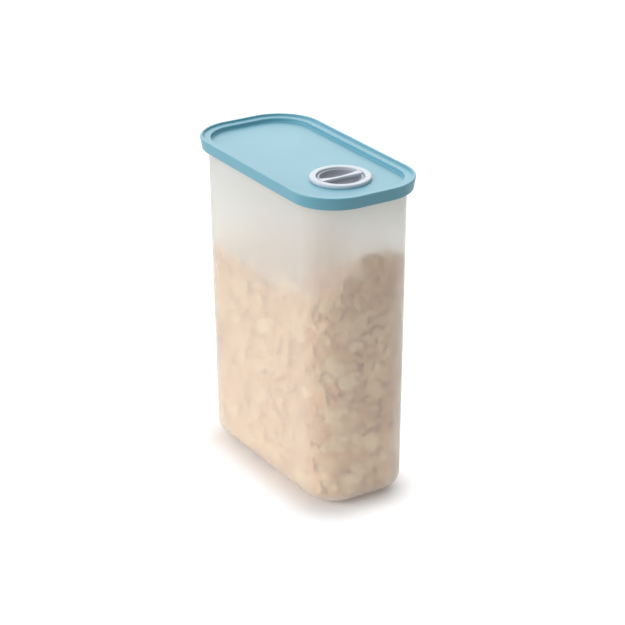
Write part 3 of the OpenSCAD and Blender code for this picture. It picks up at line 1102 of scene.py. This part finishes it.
@dataclass
class Cereal:
    """The flakes in the tub: a heaped core with separate flakes against the wall and on top.

    The heap climbs to the end that pours and drops to the -Y side.
    """

    tub: Tub
    clear: float = 0.5
    climb: float = 28.0
    climb_length: float = 60.0
    side_drop: float = 22.0
    side_width: float = 24.0
    wave: float = 2.5
    wave_x: float = 17.0
    wave_y: float = 13.0
    wave_phase: float = 1.0
    highest: float = 222.0
    flake_sizes: tuple[float, ...] = (9.0, 12.0, 15.0, 19.0)
    flake_kinds: int = 2
    flake_corners: int = 8
    flake_angle: float = math.radians(60)
    thickness: float = 1.0
    oval: float = 0.78
    stretch: float = 0.16
    bend: Range = (0.5, 1.1)
    curl_long: float = 0.16
    curl_wide: float = 0.10
    dent: float = 0.045
    toasting: Range = (-0.25, 0.45)
    wall_rows: int = 25
    wall_columns: int = 58
    row_height: float = 8.0
    row_shift: float = 0.4
    column_shift: float = 0.35
    first_row: float = 4.0
    wall_depth: Range = (0.8, 4.0)
    side_depth: float = 2.2
    wall_rise: Range = (-6.0, 4.0)
    wall_lean: float = 0.45
    top_count: int = 170
    top_out: float = 24.0
    top_rise: Range = (-1.0, 4.0)
    top_lean: float = 0.8
    pile_count: int = 90
    pile_out: float = 24.0
    pile_length: float = 8.0
    pile_y: float = 4.0
    pile_width: float = 18.0
    pile_height: float = 11.0
    pile_sink: float = 3.0
    pile_lean: float = 0.6
    core_gap: float = 4.2
    core_start: float = 10.0
    core_round: float = 2.0
    core_voxel: float = 4.0
    core_sink: float = 3.0
    core_jitter: float = 0.8
    core_toasting: float = 0.2
    core_angle: float = math.radians(80)
    seed: int = 11
    dice: random.Random = field(init=False)

    def __post_init__(self) -> None:
        """Seeds the dice, so that the heap is the same each time."""
        self.dice = random.Random(self.seed)

    @cached_property
    def top(self) -> float:
        """Height of the heap where it is highest."""
        return in_mm(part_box("cereal_fill")[1].z)

    @property
    def base_level(self) -> float:
        """Height of the heap away from the end that pours."""
        return self.top - self.climb

    @staticmethod
    def ease(share: float) -> float:
        """A gentle step from 0 to 1."""
        return (1.0 - math.cos(math.pi * min(max(share, 0.0), 1.0))) / 2.0

    def level(self, x: float, y: float) -> float:
        """Height of the heap at a place."""
        plan = self.tub.plan
        end_x = plan.half_x + self.tub.corner / 2
        start_y = -plan.half_y - self.tub.corner / 2
        along = self.top - self.climb * (1.0 - self.ease((x - end_x) / self.climb_length + 1.0))
        across = self.top - self.side_drop * (1.0 - self.ease((y - start_y) / self.side_width))
        ripple = self.wave * math.sin(x / self.wave_x + self.wave_phase) * math.cos(y / self.wave_y)
        return min(along, across) + ripple

    def hold(self, co: Vector) -> Vector:
        """Moves a place, in millimetres, inside the tub's wall and above its floor."""
        low = self.tub.floor_top + self.clear
        kept = Vector((co.x, co.y, min(max(co.z, low), self.highest)))
        limit = self.tub.inner_offset(kept.z) - self.clear
        out_x, out_y = self.tub.plan.outward(kept)
        reach = math.hypot(out_x, out_y)
        if reach > limit:
            kept.x += out_x * (limit / reach - 1.0)
            kept.y += out_y * (limit / reach - 1.0)
        return kept

    @staticmethod
    def toast(thing: Thing, depth: float) -> None:
        """Gives a whole mesh one depth of toasting."""
        tone = thing.data.attributes.new(TOASTING, "FLOAT", "POINT")
        tone.data.foreach_set("value", [depth] * len(thing.data.vertices))

    def flake(self, size: float) -> Thing:
        """Models one flake: a curled, uneven sheet, flat about the origin."""
        dice = self.dice
        clear_selection()
        bpy.ops.mesh.primitive_circle_add(
            vertices=self.flake_corners, radius=mm(size / 2), fill_type="NGON"
        )
        thing = bpy.context.object
        bpy.ops.object.mode_set(mode="EDIT")
        bpy.ops.mesh.inset(thickness=mm(size / 4), depth=0.0)
        bpy.ops.mesh.poke()
        bpy.ops.object.mode_set(mode="OBJECT")
        bend = dice.uniform(*self.bend)
        for vertex in thing.data.vertices:
            x, y = vertex.co.x / mm(size / 2), vertex.co.y / mm(size / 2)
            stretch = 1.0 + dice.uniform(-self.stretch, self.stretch)
            curl = self.curl_long * bend * x * x - self.curl_wide * y * y
            curl = size * (curl + dice.uniform(-self.dent, self.dent))
            vertex.co = (vertex.co.x * stretch, vertex.co.y * self.oval * stretch, mm(curl))
        apply_modifier(thing, "SOLIDIFY", thickness=mm(self.thickness), offset=0.0)
        return thing

    def wall_spot(self, share: float) -> tuple[Vector, Vector]:
        """Place on the plan's outline at zero offset, with the direction outwards.

        Args:
            share: Share of the way round, from 0 to 1.

        Returns:
            A place on the corner rectangle and the outward direction there.
        """
        quarter = (self.tub.corner - self.tub.wall - self.tub.draft / 2) * QUARTER
        x, y = self.tub.plan.half_x, self.tub.plan.half_y
        left = share * (4 * quarter + 4 * x + 4 * y)
        legs = ((x, y, -1, 0, 2 * x), (-x, y, 0, -1, 2 * y), (-x, -y, 1, 0, 2 * x), (x, -y, 0, 1, 2 * y))
        for count, (cx, cy, dx, dy, length) in enumerate(legs):
            turned = count * QUARTER + QUARTER * min(left, quarter) / quarter
            left -= quarter
            if left < length:
                along = Vector((dx, dy, 0)) * max(left, 0.0)
                return Vector((cx, cy, 0)) + along, Vector((math.cos(turned), math.sin(turned), 0.0))
            left -= length
        return Vector((x, y, 0)), Vector((1.0, 0.0, 0.0))

    def lean(self, facing: Vector, spread_by: float) -> Matrix:
        """A turn that faces a flake along a direction, with a random lean and spin.

        Args:
            facing: Direction of the flake's broad side.
            spread_by: Largest lean in radians.

        Returns:
            The rotation.
        """
        dice = self.dice
        tilt = Euler((dice.uniform(-spread_by, spread_by), dice.uniform(-spread_by, spread_by), 0.0))
        spin = Euler((0.0, 0.0, dice.uniform(0.0, 4 * QUARTER)))
        track = facing.to_track_quat("Z", "Y").to_matrix()
        return (track @ tilt.to_matrix() @ spin.to_matrix()).to_4x4()

    def wall_flakes(self) -> Iterator[tuple[Vector, Matrix]]:
        """Places and turns of the flakes that lie against the wall, row by row."""
        dice = self.dice
        for row in range(self.wall_rows):
            for column in range(self.wall_columns):
                across = column + 0.5 * (row % 2) + dice.uniform(-self.column_shift, self.column_shift)
                spot, out = self.wall_spot(across / self.wall_columns % 1.0)
                rise = (row + dice.uniform(-self.row_shift, self.row_shift)) * self.row_height
                height = self.tub.floor_top + self.first_row + rise
                depth = self.tub.inner_offset(height) - dice.uniform(*self.wall_depth)
                at = spot + out * (depth - self.side_depth * out.y * out.y)
                at.z = height
                if height < self.level(at.x, at.y) + dice.uniform(*self.wall_rise):
                    yield at, self.lean(out, self.wall_lean)

    def top_flakes(self) -> Iterator[tuple[Vector, Matrix]]:
        """Places and turns of the flakes that lie on the heap."""
        dice = self.dice
        for _ in range(self.top_count):
            spot, out = self.wall_spot(dice.random())
            at = spot * dice.uniform(0.0, 1.0) + out * dice.uniform(0.0, self.top_out)
            at.z = self.level(at.x, at.y) + dice.uniform(*self.top_rise)
            yield at, self.lean(Vector((0, 0, 1)), self.top_lean)

    def pile_flakes(self) -> Iterator[tuple[Vector, Matrix]]:
        """Places and turns of the flakes that are piled up at the end that pours."""
        dice = self.dice
        for _ in range(self.pile_count):
            across = dice.gauss(self.pile_y, self.pile_width)
            share = dice.random()
            width = (across - self.pile_y) / self.pile_width
            rise = self.pile_height * share * math.exp(-(width**2) / 2)
            x = self.tub.plan.half_x + self.pile_out - self.pile_length * dice.random() * (1.0 - share)
            at = Vector((x, across, 0.0))
            at.z = self.level(at.x, across) + rise - self.pile_sink
            yield at, self.lean(Vector((1, 0, 0)), self.pile_lean)

    def build_flakes(self, finish: Finish) -> None:
        """Copies the modelled flakes to their places and joins them.

        Args:
            finish: The flakes' material.
        """
        patterns = [self.flake(size) for size in self.flake_sizes for _ in range(self.flake_kinds)]
        poses = [*self.wall_flakes(), *self.top_flakes(), *self.pile_flakes()]
        copies: list[Thing] = []
        for at, turn_by in poses:
            copy = bpy.data.objects.new("flake", self.dice.choice(patterns).data.copy())
            copy.data.transform(Matrix.Translation(at * mm(1)) @ turn_by)
            for vertex in copy.data.vertices:
                vertex.co = self.hold(vertex.co * MM_PER_METRE) * mm(1)
            self.toast(copy, self.dice.uniform(*self.toasting))
            bpy.context.scene.collection.objects.link(copy)
            copies.append(copy)
        for pattern in patterns:
            bpy.data.objects.remove(pattern)
        make_active(copies[0])
        for copy in copies:
            copy.select_set(True)
        bpy.ops.object.join()
        flakes = bpy.context.object
        rename(flakes, "cereal_flakes")
        make_active(flakes)
        bpy.ops.object.shade_smooth_by_angle(angle=self.flake_angle)
        place(flakes, Body.CONTAINER, Slot.CEREAL, finish, "cereal_fill")

    def build_core(self, finish: Finish) -> None:
        """Makes the heap behind the flakes.

        Args:
            finish: The flakes' material.
        """
        tub = self.tub
        cx, cz = tub.base_axis
        start = self.core_start
        floor = tub.floor_top + self.clear
        wall = tub.corner - tub.wall - self.core_gap
        profile = [
            (start, floor),
            (cx - self.core_round, floor),
            (wall - tub.draft, cz),
            (wall - tub.draft / 2, self.base_level),
            (start, self.base_level),
        ]
        core = tub.plan.sweep("cereal_heap", profile)
        tub.plan.cap(core, start, floor, self.base_level)
        apply_modifier(core, "REMESH", mode="VOXEL", voxel_size=mm(self.core_voxel))
        jitter = self.core_jitter
        for vertex in core.data.vertices:
            co = vertex.co * MM_PER_METRE
            share = (co.z - floor) / (self.base_level - floor)
            lift = self.level(co.x, co.y) - self.base_level - self.core_sink
            shift = Vector([self.dice.uniform(-jitter, jitter) for _ in range(3)])
            vertex.co = self.hold(Vector((co.x, co.y, co.z + lift * share)) + shift) * mm(1)
        self.toast(core, self.core_toasting)
        smooth(core, self.core_angle)
        place(core, Body.CONTAINER, Slot.CEREAL, finish, "cereal_fill")


# ---------------------------------------------------------------- stage


def seen_directly(tree: Tree) -> Socket:
    """A factor of 1 for what the camera, a mirror image or a see-through wall shows."""
    rays = add_node(tree, "LightPath", {}).outputs
    seen = larger(tree, rays["Is Camera Ray"], rays["Is Glossy Ray"])
    return larger(tree, seen, rays["Is Transmission Ray"])


@dataclass(frozen=True)
class Lamp:
    """A soft square lamp, with its place and its side in metres and its power in watts."""

    name: str
    spot: tuple[float, float, float]
    power: float
    side: float = 2.4

    def build(self, aim: Vector) -> None:
        """Adds the lamp, facing a place in metres."""
        data = bpy.data.lights.new(self.name, "AREA")
        data.shape = "SQUARE"
        data.size = self.side
        data.energy = self.power
        lamp = bpy.data.objects.new(self.name, data)
        spot = Vector(self.spot)
        facing = (spot - aim).to_track_quat("Z", "Y").to_matrix().to_4x4()
        lamp.matrix_world = Matrix.Translation(spot) @ facing
        bpy.context.scene.collection.objects.link(lamp)


@dataclass
class Stage:
    """The white floor, the soft lamps and the camera.

    The camera's numbers are degrees, millimetres and pixels.  The floor's are metres from the
    object and levels from 0 to 1: glow and tone are what is seen, bounce is what lights the object.
    """

    turn_deg: float = 58.14
    rise_deg: float = 23.87
    roll_deg: float = -0.26
    distance: float = 1592.7
    shift_right: float = 4.96
    shift_up: float = 2.93
    aim_height: float = 120.0
    focal_px: float = 2062.3
    frame_px: float = 625.0
    sensor_mm: float = 36.0
    sky: float = 0.51
    floor_side: float = 12.0
    floor_roughness: float = 0.9
    # Painted shade: inside an oblong round the object's foot, shifted towards the camera, the floor's glow
    # is turned down and its seen tone raised. There it shows the rendered shadow and is painted darker even
    # where it is lit.
    shadow_centre: tuple[float, float, float] = (0.007, -0.007, 0.0)
    shadow_core: tuple[float, float, float] = (0.062, 0.014, 1.0)
    shadow_reach: Range = (0.016, 0.048)
    shade_band_glow: float = 0.06
    shade_band_tone: float = 0.78
    tone_far: float = 0.1
    bounce_reach: Range = (0.17, 0.47)
    bounce_near: float = 0.95
    bounce_far: float = 0.35
    lamps: tuple[Lamp, ...] = (
        Lamp("key", (-0.7, -2.3, 1.5), 55.0),
        Lamp("back", (-1.6, 1.0, 1.25), 29.0),
    )

    def build_camera(self) -> None:
        """Sets the camera at its viewing angle."""
        a = math.radians(self.turn_deg)
        e = math.radians(self.rise_deg)
        r = math.radians(self.roll_deg)
        back = Vector((math.sin(a) * math.cos(e), -math.cos(a) * math.cos(e), math.sin(e)))
        right = Vector((math.cos(a), math.sin(a), 0.0))
        up = back.cross(right)
        aim = Vector((0.0, 0.0, self.aim_height))
        spot = aim + back * self.distance + right * self.shift_right + up * self.shift_up
        level = right * math.cos(r) + up * math.sin(r)
        upright = up * math.cos(r) - right * math.sin(r)
        data = bpy.data.cameras.new("camera")
        data.sensor_width = self.sensor_mm
        data.lens = self.sensor_mm * self.focal_px / self.frame_px
        camera = bpy.data.objects.new("camera", data)
        turned = Matrix((level, upright, back)).transposed().to_4x4()
        camera.matrix_world = Matrix.Translation(spot * mm(1)) @ turned
        bpy.context.scene.collection.objects.link(camera)
        bpy.context.scene.camera = camera

    def build_world(self) -> None:
        """Makes a white surround that lights the object gently."""
        world = bpy.data.worlds.new("white_studio")
        bpy.context.scene.world = world
        world.use_nodes = True
        tree = world.node_tree
        tree.nodes.clear()
        level = spread(tree, seen_directly(tree), self.sky, 1.0)
        sky = add_node(tree, "Background", {"Color": WHITE, "Strength": level})
        add_node(tree, "OutputWorld", {"Surface": sky.outputs["Background"]})

    def floor_distance(self, tree: Tree, place_of: Socket) -> Socket:
        """Distance of a place on the floor from the object's foot."""
        away = place_of
        for operation, amount in (
            ("SUBTRACT", self.shadow_centre),
            ("ABSOLUTE", None),
            ("SUBTRACT", self.shadow_core),
            ("MAXIMUM", (0.0, 0.0, 0.0)),
        ):
            inputs = {0: away} if amount is None else {0: away, 1: amount}
            away = add_node(tree, "VectorMath", inputs, operation=operation).outputs["Vector"]
        return add_node(tree, "VectorMath", {0: away}, operation="LENGTH").outputs["Value"]

    def shade_floor(self, tree: Tree, place_of: Socket) -> Socket:
        """Adds the nodes of the floor and gives its shader."""
        seen = seen_directly(tree)
        distance = self.floor_distance(tree, place_of)

        def fade(start: float, end: float, near: float, far: float) -> Socket:
            """A value that goes from near to far between two distances from the object."""
            inputs = {"Value": distance, "From Min": start, "From Max": end, "To Min": near, "To Max": far}
            return add_node(tree, "MapRange", inputs, interpolation_type="SMOOTHSTEP").outputs["Result"]

        # Painted shade round the foot: the glow rises from shade_band_glow only beyond the shadow reach, so
        # the floor near the foot reads darker even where lit.
        lit = fade(*self.shadow_reach, self.shade_band_glow, 1.0)
        bounce = fade(*self.bounce_reach, self.bounce_near, self.bounce_far)
        shown = fade(*self.shadow_reach, self.shade_band_tone, self.tone_far)
        tone = add_node(tree, "Mix", {"Factor": seen, "A": bounce, "B": shown}, data_type="FLOAT")
        inputs = {
            "Base Color": tone.outputs["Result"],
            "Roughness": self.floor_roughness,
            "Specular IOR Level": 0.0,
            "Emission Color": WHITE,
            "Emission Strength": add_node(tree, "Math", {0: seen, 1: lit}, operation="MULTIPLY").outputs[0],
        }
        return principled(tree, inputs)

    def build_floor(self) -> None:
        """Lays the white floor, which keeps the object's soft shadow and is painted darker round the
        object's foot.
        """
        clear_selection()
        bpy.ops.mesh.primitive_plane_add(size=self.floor_side, location=(0, 0, 0))
        floor = bpy.context.object
        floor.name = "floor"
        floor.data.materials.append(node_material("white_floor", self.shade_floor))

    def build(self) -> None:
        """Sets the whole stage."""
        bpy.context.scene.view_settings.view_transform = "Standard"
        self.build_camera()
        self.build_world()
        self.build_floor()
        for lamp in self.lamps:
            lamp.build(Vector((0.0, 0.0, mm(self.aim_height))))


# ---------------------------------------------------------------- assembly


def main() -> None:
    """Builds every piece in order."""
    logging.basicConfig(level=logging.INFO, format="%(name)s: %(message)s")
    stage = Stage()
    stage.build()
    plan = Plan()
    tub = Tub(plan)
    lid = Lid(plan, tub)
    ring = SpoutRing(lid)
    disc = FlipDisc(ring)
    bar = GripBar(disc)
    cereal = Cereal(tub)
    white = WHITE_SPOUT.build()
    grey = GREY_DISC.build()
    soft = SOFT_SEAL.build()
    steel = SpringSteel().build()
    toasted = ToastedFlake().build()
    tub.build(FrostedPlastic().build())
    lid.build(BLUE_LID.build())
    ring.build(white)
    disc.build(grey)
    bar.build(white)
    cereal.build_core(toasted)
    cereal.build_flakes(toasted)
    for node in ("lid_gasket", "spout_washer", "disc_seal"):
        dress_node(node, soft)
    dress_node("spout_retainer", white)
    for node in ("pivot_pin_left", "pivot_pin_right"):
        dress_node(node, steel)
    clear_selection()


if __name__ == "__main__":
    main()
